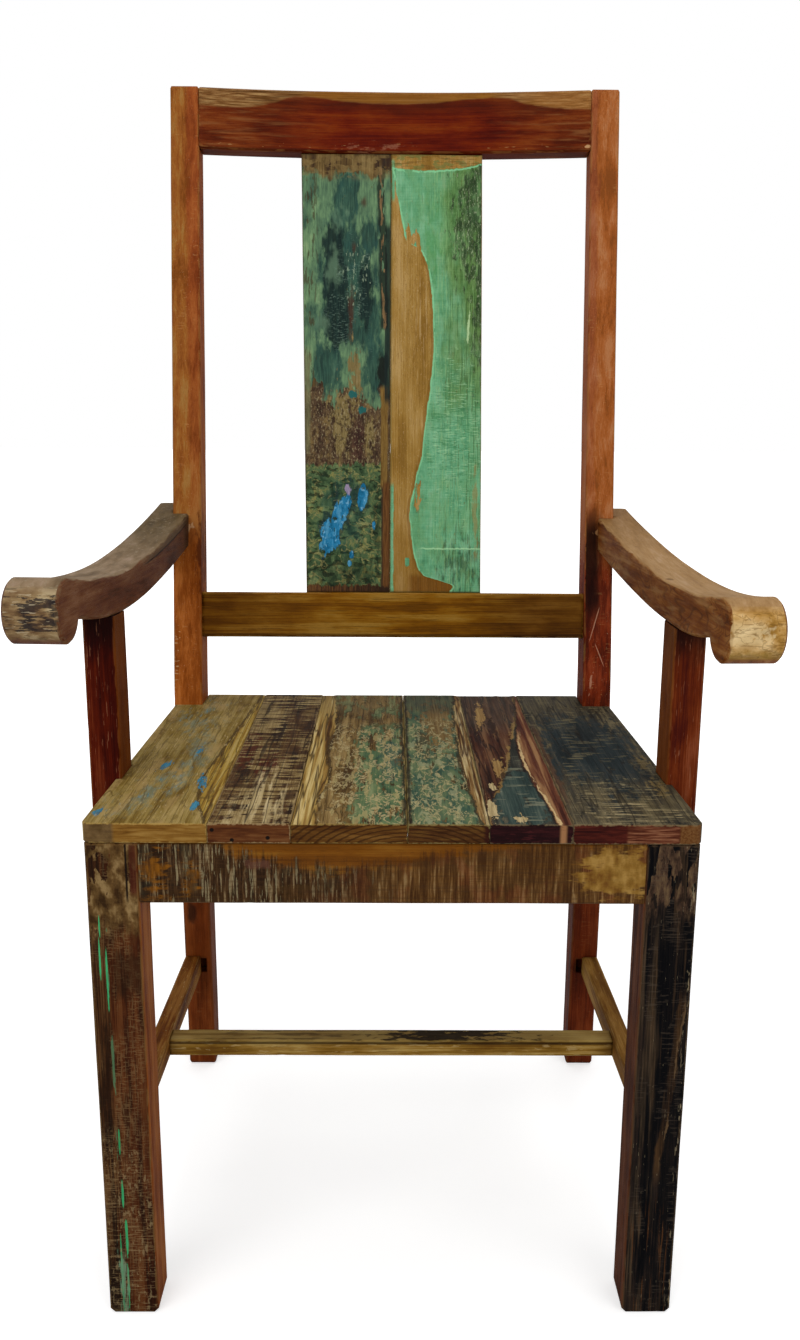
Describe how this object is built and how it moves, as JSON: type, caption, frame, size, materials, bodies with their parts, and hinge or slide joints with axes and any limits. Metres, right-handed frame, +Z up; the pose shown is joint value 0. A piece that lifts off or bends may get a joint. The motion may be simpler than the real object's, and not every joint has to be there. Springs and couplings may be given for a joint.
{
  "type": "reclaimed-wood armchair",
  "caption": "Upright armchair of reclaimed painted hardwood: raked back with a flat splat and concave crest, board seat, swooping scroll-ended arms, H stretcher.",
  "frame": {"origin": "on the floor, under the middle of the chair's bounding box", "axes": "+Z up, -Y towards the front of the chair, +X to the right as seen from the front"},
  "size_m": [0.594, 0.558, 1.1395],
  "materials": {
    "left_front_leg_wood": "worn hardwood with thin streaks of old mint paint",
    "right_front_leg_wood": "charcoal paint worn to grey-brown in streaks",
    "left_post_wood": "orange-brown hardwood, scratched",
    "right_post_wood": "deep red-brown hardwood, scratched",
    "front_rail_wood": "brown hardwood with comb-like saw marks",
    "hidden_rail_wood": "plain brown hardwood",
    "crest_wood": "dark red-brown hardwood with a band of pale sapwood",
    "lower_rail_wood": "olive-brown hardwood",
    "left_splat_wood": "flaking dark green and teal paint over brown wood",
    "right_splat_wood": "flaking mint green paint over tan wood",
    "seat_board_1_wood": "ochre wood with specks of blue paint",
    "seat_board_2_wood": "dark maroon-brown wood with pale saw marks",
    "seat_board_3_wood": "tan wood with flakes of green paint",
    "seat_board_4_wood": "wrinkled green paint",
    "seat_board_5_wood": "dark teal paint with bare gashes",
    "seat_board_6_wood": "charcoal paint with pale scratches",
    "stretcher_wood": "tan-brown hardwood",
    "cross_stretcher_wood": "olive-tan hardwood",
    "left_arm_wood": "grey-olive paint worn through on dark brown wood",
    "right_arm_wood": "khaki-tan hardwood with swirled grain",
    "left_support_wood": "deep maroon hardwood",
    "right_support_wood": "deep maroon hardwood",
    "corner_block_wood": "plain sawn hardwood",
    "plug_wood": "turned wood plug",
    "screw_steel": "plain zinc-plated steel"
  },
  "bodies": {
    "root": {"crest_rail": "crest_wood", "cross_stretcher": "cross_stretcher_wood", "front_left_corner_block": "corner_block_wood", "front_left_rail_screw_1": "screw_steel", "front_left_rail_screw_2": "screw_steel", "front_left_seat_screw": "screw_steel", "front_right_corner_block": "corner_block_wood", "front_right_rail_screw_1": "screw_steel", "front_right_rail_screw_2": "screw_steel", "front_right_seat_screw": "screw_steel", "front_seat_rail": "front_rail_wood", "left_arm": "left_arm_wood", "left_arm_plug": "plug_wood", "left_arm_screw": "screw_steel", "left_arm_support": "left_support_wood", "left_back_post": "left_post_wood", "left_front_leg": "left_front_leg_wood", "left_seat_rail": "hidden_rail_wood", "left_side_stretcher": "stretcher_wood", "left_splat_board": "left_splat_wood", "left_support_screw_1": "screw_steel", "left_support_screw_2": "screw_steel", "lower_back_rail": "lower_rail_wood", "rear_left_corner_block": "corner_block_wood", "rear_left_rail_screw_1": "screw_steel", "rear_left_rail_screw_2": "screw_steel", "rear_left_seat_screw": "screw_steel", "rear_right_corner_block": "corner_block_wood", "rear_right_rail_screw_1": "screw_steel", "rear_right_rail_screw_2": "screw_steel", "rear_right_seat_screw": "screw_steel", "rear_seat_rail": "hidden_rail_wood", "right_arm": "right_arm_wood", "right_arm_plug": "plug_wood", "right_arm_screw": "screw_steel", "right_arm_support": "right_support_wood", "right_back_post": "right_post_wood", "right_front_leg": "right_front_leg_wood", "right_seat_rail": "hidden_rail_wood", "right_side_stretcher": "stretcher_wood", "right_splat_board": "right_splat_wood", "right_support_screw_1": "screw_steel", "right_support_screw_2": "screw_steel", "seat_board_1": "seat_board_1_wood", "seat_board_2": "seat_board_2_wood", "seat_board_3": "seat_board_3_wood", "seat_board_4": "seat_board_4_wood", "seat_board_5": "seat_board_5_wood", "seat_board_6": "seat_board_6_wood"}
  },
  "joints": []
}
